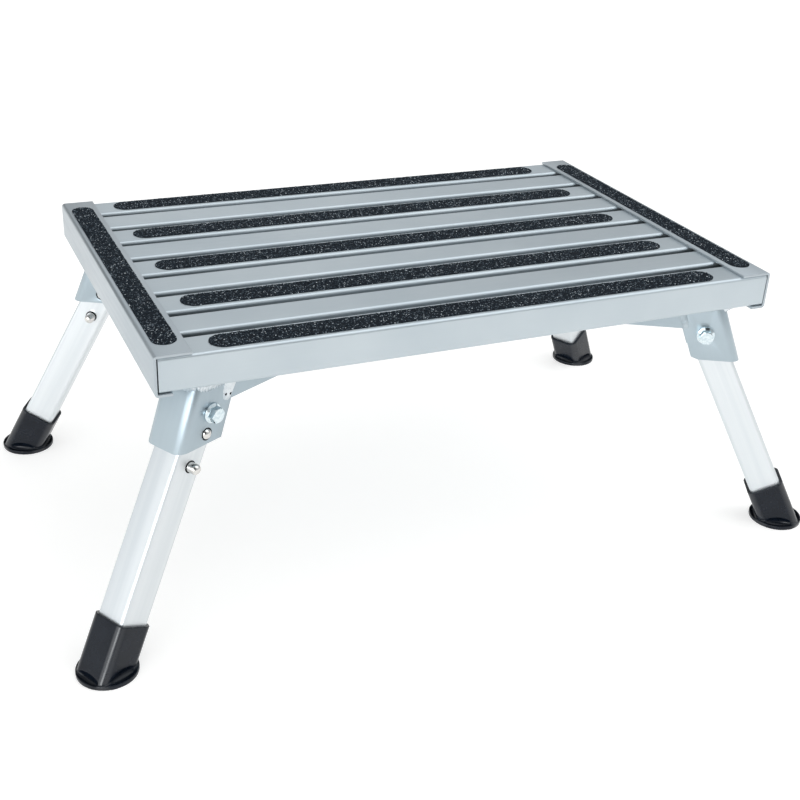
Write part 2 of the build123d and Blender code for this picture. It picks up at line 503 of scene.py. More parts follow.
# Coat over weld metal: lumpy, and paler than the sheet coat, partly as a painted highlight off its lumps.
WELD_COAT = CoatedAluminium(
    "silver_coated_weld", light="#E2E7EA", shade="#C3CCD2", roughness=0.3, cloud_mm=5.0, lump_mm=1.5
)
# A darker, greyer copy of the weld coat for the smaller welds, as painted shade.
SHADED_WELD_COAT = replace(
    WELD_COAT, name="weld_coat_painted_shade", light="#B7C2C8", shade="#95A2AA", roughness=0.34
)
# Pale satin tube with long streaks from the die.
LEG_TUBE = AnodisedAluminium("anodised_drawn_tube")
# Bright blue-white zinc on the fasteners.
ZINC = BrightSteel("bright_zinc_plate")
# Polished nickel on the buttons, with a warmer tone than zinc.
NICKEL = BrightSteel("polished_nickel", light="#DEDCD9", shade="#D2D0CD", roughness=0.06, mottle_mm=4.0)
# Oiled spring steel, much darker and duller than the buttons.
SPRING = BrightSteel("spring_steel", light="#5A5E62", shade="#46494D", roughness=0.35, mottle_mm=2.5)
# Drilled walls and pit walls, coloured dark as painted shade inside the holes.
HOLE_SHADE = BrightSteel("hole_wall_painted_shade", light="#3A3D40", shade="#2A2C2F", roughness=0.4, mottle_mm=1.5)
# Black rubber with a blue cast, satin, and shiny where it is rubbed.
RUBBER = RubbedRubber("moulded_black_rubber")
# Uncoloured nylon, milky and dull.
NYLON = MouldedPolymer("natural_nylon", light="#E4E2DA", shade="#D6D3C8", roughness=0.5, gloss_level=0.5)
# Black grit, with painted glints on a few of its grains.
GRIT = MineralGrit("mineral_grit_in_resin")
# Warm grey paper, almost white in the light.
FLOOR_PAPER = FloorPaper("pale_floor_paper")


def rounded_path(corners: Sequence[tuple[float, float, float]]) -> list[Pair]:
    """Rounds the corners of an open line.

    Args:
        corners: Each corner as its two coordinates and its radius; a radius of 0 stays sharp.

    Returns:
        The points of the line, with an arc's points in place of each rounded corner.
    """
    points: list[Pair] = []
    for index, (u, v, radius) in enumerate(corners):
        if radius == 0 or index in (0, len(corners) - 1):
            points.append((u, v))
            continue
        here = Vector((u, v))
        back = (Vector(corners[index - 1][:2]) - here).normalized()
        ahead = (Vector(corners[index + 1][:2]) - here).normalized()
        half = back.angle(ahead) / 2
        centre = here + (back + ahead).normalized() * (radius / math.sin(half))
        first, last = (here + way * (radius / math.tan(half)) - centre for way in (back, ahead))
        turn = math.atan2(first.x * last.y - first.y * last.x, first.dot(last))
        spokes = [Matrix.Rotation(turn * step / BEND_STEPS, 2) @ first for step in range(BEND_STEPS + 1)]
        points += [(centre.x + spoke.x, centre.y + spoke.y) for spoke in spokes]
    return points


def filled(work: bmesh.types.BMesh) -> Mesh:
    """Turns a shape being worked on into a mesh.

    Args:
        work: The shape, which is used up.

    Returns:
        The mesh.
    """
    made = bpy.data.meshes.new("shape")
    work.to_mesh(made)
    work.free()
    return made


class Blank:
    """A mesh being shaped, in millimetres, in the frame of its own sub-assembly."""

    def __init__(self) -> None:
        """Starts with nothing in it."""
        self.work = bmesh.new()

    def sheet(self, outer: Line, inner: Line, closed: bool = False) -> "Blank":
        """Adds a wall between two lines of points, such as a bent sheet or a tube.

        Args:
            outer: The low and the high end of the wall's outside, point by point.
            inner: The same for its inside, with as many points.
            closed: Whether the line comes back to its start.

        Returns:
            The blank itself.
        """
        # The four edges of the wall, in order round it.
        edges = ((outer, 0), (outer, 1), (inner, 1), (inner, 0))
        rows = [[self.work.verts.new(pair[end]) for pair in line] for line, end in edges]
        count = len(outer)
        for i in range(count if closed else count - 1):
            j = (i + 1) % count
            for row, beside in zip(rows, rows[1:] + rows[:1]):
                self.work.faces.new((row[i], row[j], beside[j], beside[i]))
        for i in () if closed else (0, count - 1):
            self.work.faces.new([row[i] for row in rows])
        return self

    def loft(self, loops: Sequence[Sequence[Vector]], ring: bool = False) -> "Blank":
        """Adds a solid through a stack of loops.

        Args:
            loops: The loops in order, with as many points each.
            ring: Whether the last loop meets the first; otherwise both ends are flat.

        Returns:
            The blank itself.
        """
        rows = [[self.work.verts.new(point) for point in loop] for loop in loops]
        for low, high in zip(rows, rows[1:] + rows[:1] if ring else rows[1:]):
            for i in range(len(low)):
                j = (i + 1) % len(low)
                self.work.faces.new((low[i], low[j], high[j], high[i]))
        for end in () if ring else (rows[0][::-1], rows[-1]):
            self.work.faces.new(end)
        return self

    def turned(
        self, profile: Sequence[Pair], steps: int = 48, place: Matrix = STAY, ring: bool = False
    ) -> "Blank":
        """Adds a turned solid about Z.

        Args:
            profile: Radius and height, point by point, radii above 0.
            steps: How many facets go round.
            place: Where the solid goes.
            ring: Whether the profile closes on itself; otherwise it runs from end to end.

        Returns:
            The blank itself.
        """
        spokes = [2 * math.pi * step / steps for step in range(steps)]
        loops = [[place @ Vector((r * math.cos(a), r * math.sin(a), z)) for a in spokes] for r, z in profile]
        return self.loft(loops, ring)

    def mesh(self) -> Mesh:
        """Turns the blank's faces outward and returns it as a mesh."""
        bmesh.ops.recalc_face_normals(self.work, faces=self.work.faces)
        return filled(self.work)


def bench(mesh: Mesh, name: str = "bench") -> bpy.types.Object:
    """Puts a mesh on an object in the scene.

    Args:
        mesh: The mesh.
        name: The object's name.

    Returns:
        The object.
    """
    obj = bpy.data.objects.new(name, mesh)
    bpy.context.scene.collection.objects.link(obj)
    return obj


def settled(obj: bpy.types.Object) -> Mesh:
    """Takes what an object's modifiers give as a plain mesh, and removes the object.

    Args:
        obj: An object with modifiers.

    Returns:
        The plain mesh.
    """
    bpy.context.view_layer.update()
    graph = bpy.context.evaluated_depsgraph_get()
    made = bpy.data.meshes.new_from_object(obj.evaluated_get(graph), depsgraph=graph)
    bpy.data.objects.remove(obj)
    return made


def worked(mesh: Mesh, *steps: tuple[str, Mapping[str, Any]]) -> Mesh:
    """Runs modifiers on a mesh.

    Args:
        mesh: The mesh to work on.
        steps: Blender's name for each modifier, and its settings.

    Returns:
        The result as a plain mesh.
    """
    obj = bench(mesh)
    for kind, settings in steps:
        modifier = obj.modifiers.new(kind, kind)
        for name, value in settings.items():
            setattr(modifier, name, value)
    return settled(obj)


def cut(
    mesh: Mesh,
    tools: Sequence[Mesh],
    operation: str = "DIFFERENCE",
    skins: tuple[Finish, Finish] | None = None,
) -> Mesh:
    """Cuts a mesh with others.

    Args:
        mesh: The mesh that stays.
        tools: The meshes that cut it.
        operation: Blender's name for the cut.
        skins: The finish of the mesh and that of the walls of the cut; None leaves both bare.

    Returns:
        What is left.
    """
    way = {"operation": operation, "solver": "EXACT"}
    if skins:
        way["material_mode"] = "TRANSFER"
        for part, finish in ((mesh, skins[0]), *((tool, skins[1]) for tool in tools)):
            if not part.materials:
                part.materials.append(finish.material())
    cutters = [bench(tool) for tool in tools]
    made = worked(mesh, *(("BOOLEAN", way | {"object": cutter}) for cutter in cutters))
    for cutter in cutters:
        bpy.data.objects.remove(cutter)
    return made


def eased(mesh: Mesh, width: float, angle: float = 40.0) -> Mesh:
    """Rounds the edges of a mesh that turn by more than an angle in degrees, as a deburred edge is."""
    sharp = {"limit_method": "ANGLE", "angle_limit": math.radians(angle)}
    return worked(mesh, ("BEVEL", {"width": width, "segments": 2} | sharp))


def joined(*parts: Mesh) -> Mesh:
    """Puts several meshes together.

    Args:
        parts: The meshes.

    Returns:
        All of them in one.
    """
    whole = bmesh.new()
    for part in parts:
        whole.from_mesh(part)
    return filled(whole)


def turned_bar(radius: float, low: float, high: float) -> Mesh:
    """A round bar along Y from low to high, as a drill leaves it."""
    return Blank().turned([(radius, low), (radius, high)], place=ALONG_Y).mesh()


def egg(place: Matrix) -> Mesh:
    """A ball of radius 1, stretched and placed.

    Args:
        place: Its size and place.

    Returns:
        The ball's mesh.
    """
    work = bmesh.new()
    bmesh.ops.create_uvsphere(work, u_segments=32, v_segments=20, radius=1.0, matrix=place)
    return filled(work)


class NodeShape:
    """A Geometry Nodes tree with named inputs, run once and read back as a plain mesh."""

    def __init__(self, name: str, inputs: Mapping[str, str]) -> None:
        """Starts a tree.

        Args:
            name: The tree's name.
            inputs: The kind of each named input, besides the material.
        """
        self.tree = bpy.data.node_groups.new(name, "GeometryNodeTree")
        new_socket = self.tree.interface.new_socket
        new_socket("Shape", in_out="OUTPUT", socket_type="NodeSocketGeometry")
        self.keys = {
            label: new_socket(label, in_out="INPUT", socket_type=f"NodeSocket{kind}").identifier
            for label, kind in {**inputs, "Material": "Material"}.items()
        }
        self.given = add_node(self.tree, "NodeGroupInput").node.outputs

    def add(self, kind: str, *wires: Any, **settings: Any) -> Socket:
        """Adds a node to the tree as add_node does, and returns its output."""
        return add_node(self.tree, kind, *wires, **settings)

    def close(self, shape: Socket) -> None:
        """Ends the tree in real geometry with its material.

        Args:
            shape: The geometry to end in.
        """
        real = self.add("GeometryNodeRealizeInstances", {"Geometry": shape})
        dressed = self.add("GeometryNodeSetMaterial", {"Geometry": real, "Material": self.given["Material"]})
        self.add("NodeGroupOutput", {"Shape": dressed})

    def run(self, finish: Finish, values: Mapping[str, Any], base: Mesh | None = None) -> Mesh:
        """Runs the tree.

        Args:
            finish: What the shape is made of.
            values: A value for each other named input.
            base: The mesh that the tree starts from, if it has one.

        Returns:
            The result as a plain mesh.
        """
        obj = bench(base or bpy.data.meshes.new("empty"))
        modifier = obj.modifiers.new(self.tree.name, "NODES")
        modifier.node_group = self.tree
        for label, value in {**values, "Material": finish.material()}.items():
            modifier[self.keys[label]] = value
        return settled(obj)


@dataclass
class Piece:
    """A finished piece: its mesh in millimetres in a local frame, its finish, and what it rides on."""

    name: str
    mesh: Mesh
    finish: Finish
    slot: Slot
    body: str
    stands_for: tuple[str, ...] = ()
    place: Matrix = field(default_factory=STAY.copy)
    drawn: Matrix = field(default_factory=STAY.copy)
    crease: float = 32.0

    def seat(self) -> None:
        """Puts the piece in the frame, dressed and riding on its body."""
        lines = self.mesh.attributes.new(DRAWN, "FLOAT_VECTOR", "POINT")
        for vertex, line in zip(self.mesh.vertices, lines.data):
            line.vector = self.drawn @ vertex.co
        self.mesh.transform(Matrix.Scale(MM, 4) @ self.place)
        # What was cut or grown from nodes already has its finishes.
        if not self.mesh.materials or self.mesh.materials[0] is None:
            self.mesh.materials.clear()
            self.mesh.materials.append(self.finish.material())
        self.mesh.shade_smooth()
        self.mesh.set_sharp_from_angle(angle=math.radians(self.crease))
        self.mesh.name = self.name
        obj = bench(self.mesh, self.name)
        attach(obj, self.body)
        if self.stands_for:
            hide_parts(*self.stands_for)
        log.info("%s: %d faces on %s", self.name, len(self.mesh.polygons), self.body)


@dataclass
class Deck:
    """The treads: nine box rails held in two folded end channels."""

    length: float = 480.0
    height: float = 224.3
    rail_count: int = 9
    rail_pitch: float = 35.25
    rail_width: float = 28.0
    rail_height: float = 24.8
    rail_wall: float = 1.6
    rail_round: float = 2.5
    sheet: float = 2.0
    top_width: float = 25.3
    bottom_width: float = 12.0
    end_gap: float = 0.8
    under_gap: float = 0.5

    @property
    def width(self) -> float:
        """The deck's size across the rails."""
        return (self.rail_count - 1) * self.rail_pitch + self.rail_width

    @property
    def rail_top(self) -> float:
        """The height of the rails' tops."""
        return self.height - self.sheet

    @property
    def rail_bottom(self) -> float:
        """The height of the rails' undersides."""
        return self.rail_top - self.rail_height

    def rail_names(self) -> list[str]:
        """The rails' node names from front to back."""
        return ["front_rail", *(f"slat_{n}" for n in range(1, self.rail_count - 1)), "back_rail"]

    def rails(self) -> Piece:
        """Makes the row of hollow rails from one section, repeated at the pitch.

        Returns:
            The rails as one piece.
        """
        sizes = {
            "Pitch": self.rail_pitch,
            "Width": self.rail_width,
            "Height": self.rail_height,
            "Wall": self.rail_wall,
            "Round": self.rail_round,
            "Length": self.length - 2 * (self.sheet + self.end_gap),
            "Middle": self.rail_bottom + self.rail_height / 2,
        }
        shape = NodeShape("rail_row", {"Count": "Int"} | dict.fromkeys(sizes, "Float"))
        add, given = shape.add, shape.given
        # The section is drawn upright, with its height along X, and then laid down.
        flipped = {"Width": given["Height"], "Height": given["Width"]}
        square = add("GeometryNodeCurvePrimitiveQuadrilateral", flipped)
        rounding = {"Curve": square, "Count": 8, "Radius": given["Round"]}
        outside = add("GeometryNodeFilletCurve", rounding, mode="POLY")
        walls = add("ShaderNodeMath", {0: given["Wall"], 1: 2.0}, operation="MULTIPLY")
        room = {}
        for side, size in flipped.items():
            room[side] = add("ShaderNodeMath", {0: size, 1: walls}, operation="SUBTRACT")
        inside = add("GeometryNodeCurvePrimitiveQuadrilateral", room)
        both = add("GeometryNodeJoinGeometry", {"Geometry": [outside, inside]})
        section = add("GeometryNodeFillCurve", {"Curve": both}, mode="TRIANGLES")
        pull = {"Mesh": section, "Offset Scale": given["Length"], "Individual": False}
        drawn = add("GeometryNodeExtrudeMesh", pull)
        start = add("GeometryNodeFlipFaces", {"Mesh": section})
        whole = add("GeometryNodeJoinGeometry", {"Geometry": [drawn, start]})
        sealed = add("GeometryNodeMergeByDistance", {"Geometry": whole, "Distance": 0.001})
        half = add("ShaderNodeMath", {0: given["Length"], 1: -0.5}, operation="MULTIPLY")
        shift = add("ShaderNodeCombineXYZ", {"X": half})
        lay = {"Geometry": sealed, "Translation": shift, "Rotation": (0.0, QUARTER, 0.0)}
        lying = add("GeometryNodeTransform", lay)
        gaps = add("ShaderNodeMath", {0: given["Count"], 1: 1.0}, operation="SUBTRACT")
        span = add("ShaderNodeMath", {0: gaps, 1: given["Pitch"]}, operation="MULTIPLY")
        first = add("ShaderNodeMath", {0: span, 1: -0.5}, operation="MULTIPLY")
        front = add("ShaderNodeCombineXYZ", {"Y": first, "Z": given["Middle"]})
        step = add("ShaderNodeCombineXYZ", {"Y": given["Pitch"]})
        row = add("GeometryNodeMeshLine", {"Count": given["Count"], "Start Location": front, "Offset": step})
        shape.close(add("GeometryNodeInstanceOnPoints", {"Points": row, "Instance": lying}))
        mesh = shape.run(DECK_COAT, {"Count": self.rail_count} | sizes)
        return Piece("deck_rails", mesh, DECK_COAT, Slot.DECK, PLATFORM, tuple(self.rail_names()))

    def channel(self, side: int) -> Piece:
        """Folds one end channel.

        Args:
            side: -1 for the left end, 1 for the right.

        Returns:
            The channel, with its cut edges eased.
        """
        inner_bend = 0.75 * self.end_gap
        end, half = self.length / 2, self.width / 2
        low = self.rail_bottom - self.under_gap - self.sheet
        walls = []
        for depth, bend in ((0.0, inner_bend + self.sheet), (self.sheet, inner_bend)):
            path = rounded_path(
                [
                    (end - self.top_width, self.height - depth, 0),
                    (end - depth, self.height - depth, bend),
                    (end - depth, low + depth, bend),
                    (end - self.bottom_width, low + depth, 0),
                ]
            )
            walls.append([(Vector((x, -half, z)), Vector((x, half, z))) for x, z in path])
        mesh = eased(Blank().sheet(*walls).mesh(), SHEET_EDGE)
        name = "end_channel_right" if side > 0 else "end_channel_left"
        place = STAY if side > 0 else HALF_TURN
        drawn = Matrix.Rotation(QUARTER, 4, "Z")
        return Piece(f"{name}_folded", mesh, SHEET_COAT, Slot.DECK, PLATFORM, (name,), place, drawn)

    def build(self) -> None:
        """Makes and seats the rails and both channels."""
        for piece in (self.rails(), self.channel(-1), self.channel(1)):
            piece.seat()


@dataclass
class GritStrips:
    """The black grit: round-ended strips on every second rail and one on each end channel."""

    deck: Deck
    width: float = 20.0
    end_margin: float = 17.5
    shift: float = 3.0
    end_width: float = 17.0
    end_strip_margin: float = 15.0
    grain_radius: float = 0.58
    grain_density: float = 1.1
    backing: float = 0.4
    backing_edge: float = 0.15
    arc_steps: int = 24

    def tree(self) -> NodeShape:
        """Builds the tree that strews grains over the top of a strip's backing.

        Returns:
            The tree, which starts from the backing's mesh.
        """
        kinds = {"Backing": "Geometry", "Density": "Float", "Grain": "Float", "Seed": "Int", "Tone": "String"}
        shape = NodeShape("strewn_grit", kinds)
        add, given = shape.add, shape.given
        backing, seed = given["Backing"], given["Seed"]
        upward = add("ShaderNodeSeparateXYZ", {"Vector": add("GeometryNodeInputNormal")}, out="Z")
        on_top = add("FunctionNodeCompare", {"A": upward, "B": 0.9}, operation="GREATER_THAN")
        spread = {"Mesh": backing, "Selection": on_top, "Density": given["Density"], "Seed": seed}
        spots = add("GeometryNodeDistributePointsOnFaces", spread, distribute_method="RANDOM")
        grain = add("GeometryNodeMeshUVSphere", {"Segments": 4, "Rings": 2, "Radius": given["Grain"]})
        tilts = {"Min": (-0.5, -0.5, 0.0), "Max": (0.5, 0.5, 6.28)}
        stretches = {"Min": (0.7, 0.7, 0.4), "Max": (1.35, 1.35, 0.8)}
        turn, size = (
            add("FunctionNodeRandomValue", span | {"Seed": seed}, data_type="FLOAT_VECTOR")
            for span in (tilts, stretches)
        )
        strewn = {"Points": spots, "Instance": grain, "Rotation": turn, "Scale": size}
        placed = add("GeometryNodeInstanceOnPoints", strewn)
        chance = add("FunctionNodeRandomValue", {"Min": 0.0, "Max": 1.0, "Seed": seed}, data_type="FLOAT")
        mark = {"Geometry": placed, "Name": given["Tone"], "Value": chance}
        toned = add("GeometryNodeStoreNamedAttribute", mark, data_type="FLOAT", domain="INSTANCE")
        shape.close(add("GeometryNodeJoinGeometry", {"Geometry": [toned, backing]}))
        return shape

    def backing_mesh(self, length: float, width: float, place: Matrix) -> Mesh:
        """Makes the resin sheet under the grains.

        Args:
            length: The strip's length over its round ends.
            width: Its width.
            place: Where it lies.

        Returns:
            A thin slab with round ends.
        """
        radius = width / 2
        reach = length / 2 - radius
        arc = [math.radians(-90 + 180 * step / self.arc_steps) for step in range(self.arc_steps + 1)]
        ends = [(reach + radius * math.cos(a), radius * math.sin(a)) for a in arc]
        outline = ends + [(-x, -y) for x, y in ends]
        levels = ((0.0, 0.0), (self.backing * 0.75, 0.0), (self.backing, self.backing_edge))
        loops = [
            [place @ Vector((x * (1 - back / length), y * (1 - back / width), z)) for x, y in outline]
            for z, back in levels
        ]
        return Blank().loft(loops).mesh()

    def build(self) -> None:
        """Makes and seats every strip."""
        tree = self.tree()
        deck = self.deck
        long_strip = deck.length - 2 * (deck.top_width + self.end_margin)
        strips = []
        for index, rail in list(enumerate(deck.rail_names()))[::2]:
            y = (index - (deck.rail_count - 1) / 2) * deck.rail_pitch
            spot = Matrix.Translation((-self.shift, y, deck.rail_top))
            strips.append((f"grit_{rail}", long_strip, self.width, spot))
        for side, end in ((-1, "left"), (1, "right")):
            spot = Matrix.Translation((side * (deck.length - deck.top_width) / 2, 0, deck.height))
            across = spot @ Matrix.Rotation(QUARTER, 4, "Z")
            strips.append((f"end_grit_{end}", deck.width - 2 * self.end_strip_margin, self.end_width, across))
        for seed, (node, length, width, place) in enumerate(strips, 1):
            values = {"Density": self.grain_density, "Grain": self.grain_radius, "Seed": seed, "Tone": TONE}
            mesh = tree.run(GRIT, values, self.backing_mesh(length, width, place))
            Piece(f"{node}_strewn", mesh, GRIT, Slot.GRIT, PLATFORM, (node,), crease=15.0).seat()


@dataclass
class Hinge:
    """The sizes that bracket, bolt and leg share, and the frame they are built in.

    Local X points outward in the plane that the leg folds in, local Y to the button side, and the
    pivot is the origin.
    """

    deck: Deck
    fold_turn: float = 28.2
    leg_lean: float = 27.75
    inset_x: float = 32.5
    inset_y: float = 29.0
    drop: float = 26.5
    leg_size: float = 25.0
    sheet: float = 3.0
    washer: float = 1.6
    bolt: float = 6.0
    lock_drop: float = 14.8
    release_drop: float = 39.7
    button_inset: float = 1.7

    @property
    def pivot_z(self) -> float:
        """The pivot's height above the ground."""
        return self.deck.rail_bottom - self.drop

    @property
    def flange_inside(self) -> float:
        """Where the flanges' inner faces are, to each side of the leg's middle."""
        return self.leg_size / 2 + self.washer

    @property
    def flange_outside(self) -> float:
        """Where the flanges' outer faces are."""
        return self.flange_inside + self.sheet

    @property
    def leg_reach(self) -> float:
        """The distance along the leg from the pivot to the ground."""
        return self.pivot_z / math.cos(math.radians(self.leg_lean))

    @property
    def leaned(self) -> Matrix:
        """Turns what is built straight down to the leg's lean."""
        return Matrix.Rotation(math.radians(-self.leg_lean), 4, "Y")

    def place(self, corner: Corner) -> Matrix:
        """Finds the frame of one corner's hinge.

        Args:
            corner: Which corner.

        Returns:
            The frame.
        """
        side_x, side_y = corner.value
        turn = math.radians(self.fold_turn)
        angle = math.atan2(side_y * math.sin(turn), side_x * math.cos(turn))
        x = side_x * (self.deck.length / 2 - self.inset_x)
        y = side_y * (self.deck.width / 2 - self.inset_y)
        return Matrix.Translation((x, y, self.pivot_z)) @ Matrix.Rotation(angle, 4, "Z")

    def beside(self, drop: float) -> Matrix:
        """Moves what is built at the pivot to a button's place down the leg."""
        return Matrix.Translation((-self.button_inset, 0, -drop))


@dataclass(frozen=True)
class Seam:
    """A welded line: its points, how far it reaches out and down, and how hollow, lumpy and rippled it is."""

    name: str
    points: list[Vector]
    out: float
    down: float
    hollow: float
    lump: float
    swell: float = 0.18
    pits: tuple[Vector, ...] = ()


# How much weld metal each corner's outer flange carries: the front left one has the most.
WELD_HEFT: dict[Corner, float] = {
    Corner.FRONT_LEFT: 1.0,
    Corner.FRONT_RIGHT: 0.4,
    Corner.BACK_RIGHT: 0.8,
    Corner.BACK_LEFT: 0.7,
}


@dataclass
class Bracket:
    """The welded part of a leg station: the U of sheet, its brace channel and the weld beads."""

    hinge: Hinge
    bend: float = 7.5
    lean: float = 21.5
    drop: float = 21.3
    inner_edge: float = 15.0
    corner_run: float = 5.0
    corner_rise: float = 2.2
    web_clearance: float = 17.6
    lock_hole: float = 9.2
    brace_height: float = 22.0
    brace_length: float = 95.0
    brace_bends: Pair = (2.0, 0.6)
    ripple: float = 2.4
    web_weld: Pair = (15.5, -3.0)
    web_steps: int = 12
    flange_lead: float = 1.0
    flange_pace: float = 2.0
    flange_steps: int = 16
    patch_start: float = 0.5
    patch_pace: float = 1.25
    patch_steps: int = 17
    patch_lap: float = 0.8
    patch_sunk: float = 0.2
    inner_heft: float = 0.6
    bright_over: float = 1.3
    pits: tuple[Pair, ...] = ((-12.4, 9.4), (-16.6, 8.6))
    pit_radius: float = 1.0
    pit_proud: float = 1.1

    def at(self, x: float, z: float) -> float:
        """How far out a point of the leaning sheet is at height z, with x square to the lean."""
        slope = math.radians(self.lean)
        return x / math.cos(slope) - z * math.tan(slope)

    def u_sheet(self) -> Mesh:
        """Bends the U, cut level at both ends, with the lock button's hole in one flange.

        Returns:
            The bracket's mesh in the hinge's frame.
        """
        hinge = self.hinge
        step = self.corner_run * math.cos(math.radians(self.lean)) - self.inner_edge
        lines = []
        for half, web, radius in (
            (hinge.flange_outside, self.web_clearance + hinge.sheet, self.bend),
            (hinge.flange_inside, self.web_clearance, self.bend - hinge.sheet),
        ):
            flange = ((-self.inner_edge, -half, 0), (step, -half, 0), (web, -half, radius))
            path = rounded_path([*flange, *((x, -y, r) for x, y, r in reversed(flange))])
            line = []
            for x, y in path:
                cut_back = x == -self.inner_edge and y < 0
                low = self.corner_rise - self.drop if cut_back else -self.drop
                line.append(tuple(Vector((self.at(x, z), y, z)) for z in (low, hinge.drop)))
            lines.append(line)
        through = 2 * hinge.flange_outside
        lock = turned_bar(self.lock_hole / 2, 0, through)
        lock.transform(hinge.leaned @ hinge.beside(hinge.lock_drop))
        pivot = turned_bar(hinge.bolt / 2 + PLAY, -through, through)
        # The holes' walls take the dark finish as painted shade.
        bent = cut(Blank().sheet(*lines).mesh(), [lock, pivot], skins=(BRACKET_COAT, HOLE_SHADE))
        return eased(bent, SHEET_EDGE)

    def brace(self) -> Mesh:
        """Folds the channel under the slats that meets the bracket's inner edge.

        Returns:
            The brace's mesh in the hinge's frame.
        """
        hinge = self.hinge
        start = -self.inner_edge - self.brace_length
        low = hinge.drop - self.brace_height
        lines = []
        for half, top, radius in (
            (hinge.flange_outside, hinge.drop, self.brace_bends[0]),
            (hinge.flange_inside, hinge.drop - hinge.sheet, self.brace_bends[1]),
        ):
            path = rounded_path([(-half, low, 0), (-half, top, radius), (half, top, radius), (half, low, 0)])
            ends = [(start, self.at(-self.inner_edge, z)) for _, z in path]
            lines.append([tuple(Vector((x, *spot)) for x in reach) for reach, spot in zip(ends, path)])
        return eased(Blank().sheet(*lines).mesh(), SHEET_EDGE)

    def bead_tree(self) -> NodeShape:
        """Builds the tree that lays a lumpy weld along a line, round like a bead or hollow like a fillet.

        Returns:
            The tree, which starts from a line of edges.
        """
        sizes = ("Out", "Down", "Hollow", "Ripple", "Lump", "Swell", "Seed")
        shape = NodeShape("weld_bead", {"Seam": "Geometry"} | dict.fromkeys(sizes, "Float"))
        add, given = shape.add, shape.given
        seam = add("GeometryNodeMeshToCurve", {"Mesh": given["Seam"]})
        # Five points to a ripple are enough to show it.
        pace = add("ShaderNodeMath", {0: given["Ripple"], 1: 5.0}, operation="DIVIDE")
        even = add("GeometryNodeResampleCurve", {"Curve": seam, "Length": pace}, mode="LENGTH")
        level = add("GeometryNodeSetCurveNormal", {"Curve": even}, mode="Z_UP")
        # Cubing a circle's coordinates gives the four hollow sides of a fillet.
        ring = add("GeometryNodeCurvePrimitiveCircle", {"Resolution": 24, "Radius": 1.0})
        spot = add("GeometryNodeInputPosition")
        square = add("ShaderNodeVectorMath", {0: spot, 1: spot}, operation="MULTIPLY")
        cube = add("ShaderNodeVectorMath", {0: square, 1: spot}, operation="MULTIPLY")
        blend = add("ShaderNodeMix", {"Factor": given["Hollow"], "A": spot, "B": cube}, data_type="VECTOR")
        size = add("ShaderNodeCombineXYZ", {"X": given["Out"], "Y": given["Down"], "Z": 1.0})
        sized = add("ShaderNodeVectorMath", {0: blend, 1: size}, operation="MULTIPLY")
        profile = add("GeometryNodeSetPosition", {"Geometry": ring, "Position": sized})
        # The weld rises and falls with each ripple, and runs thin where the arc starts and stops.
        along = add("GeometryNodeSplineParameter").node.outputs
        ripples = add("ShaderNodeMath", {0: along["Length"], 1: given["Ripple"]}, operation="DIVIDE")
        wave = (("MULTIPLY", math.pi), ("SINE", 0.0))
        crest, taper = ripples, along["Factor"]
        for rule, other in (*wave, ("ABSOLUTE", 0.0)):
            crest = add("ShaderNodeMath", {0: crest, 1: other}, operation=rule)
        for rule, other in (*wave, ("MAXIMUM", 0.02), ("POWER", 0.25)):
            taper = add("ShaderNodeMath", {0: taper, 1: other}, operation=rule)
        swell = add("ShaderNodeMath", {0: crest, 1: given["Swell"], 2: 0.86}, operation="MULTIPLY_ADD")
        radius = add("ShaderNodeMath", {0: swell, 1: taper}, operation="MULTIPLY")
        sweep = {"Curve": level, "Profile Curve": profile, "Scale": radius, "Fill Caps": True}
        bead = add("GeometryNodeCurveToMesh", sweep)
        cloud = {"Vector": spot, "W": given["Seed"], "Scale": 0.32, "Detail": 3.0}
        wander = add("ShaderNodeTexNoise", cloud, noise_dimensions="4D")
        uneven = add("ShaderNodeMath", {0: wander, 1: 0.5}, operation="SUBTRACT")
        lump = add("ShaderNodeMath", {0: uneven, 1: given["Lump"]}, operation="MULTIPLY")
        normal = add("GeometryNodeInputNormal")
        push = add("ShaderNodeVectorMath", {0: normal, "Scale": lump}, operation="SCALE")
        shape.close(add("GeometryNodeSetPosition", {"Geometry": bead, "Offset": push}))
        return shape

    def seams(self, corner: Corner) -> list[Seam]:
        """The lines that are welded at one corner.

        Args:
            corner: Which corner; each was welded a little differently.

        Returns:
            The seams, in the hinge's frame.
        """
        top, outside = self.hinge.drop, self.hinge.flange_outside
        web = self.at(self.web_clearance + self.hinge.sheet, top)
        side = corner.head_side
        # Only the part of the web under the outer rail is welded.
        start, end = self.web_weld
        across = [
            Vector((web, side * (start + (end - start) * step / self.web_steps), top))
            for step in range(self.web_steps + 1)
        ]
        seams = [Seam("web", across, out=18.0, down=10.0, hollow=0.75, lump=0.8)]
        for name, flank, heft in (("outer", side, WELD_HEFT[corner]), ("inner", -side, self.inner_heft)):
            runs = [web + self.flange_lead - self.flange_pace * step for step in range(self.flange_steps + 1)]
            line = [Vector((x, flank * outside, top)) for x in runs]
            flat = {"out": 5.0 * heft, "down": 9.5 * heft, "hollow": 0.6, "lump": 2.4 * heft}
            seams.append(Seam(f"{name}_flange", line, **flat))
            wide = 1.5 + 4.5 * heft
            drops = [self.patch_pace * step for step in range(self.patch_steps + 1)]
            heights = [top - self.patch_start - drop for drop in drops]
            middle = [self.at(-self.inner_edge, z) + wide - self.patch_lap for z in heights]
            line = [Vector((x, flank * (outside - self.patch_sunk), z)) for x, z in zip(middle, heights)]
            upright = {"out": 0.6 + 0.9 * heft, "down": wide, "hollow": 0.0, "lump": 1.8, "swell": 0.04}
            # The heaviest patch has gas pits.
            spots = self.pits if heft == max(WELD_HEFT.values()) else ()
            pits = tuple(Vector((x, flank * (outside + self.pit_proud), z)) for x, z in spots)
            seams.append(Seam(f"{name}_patch", line, **upright, pits=pits))
        return seams

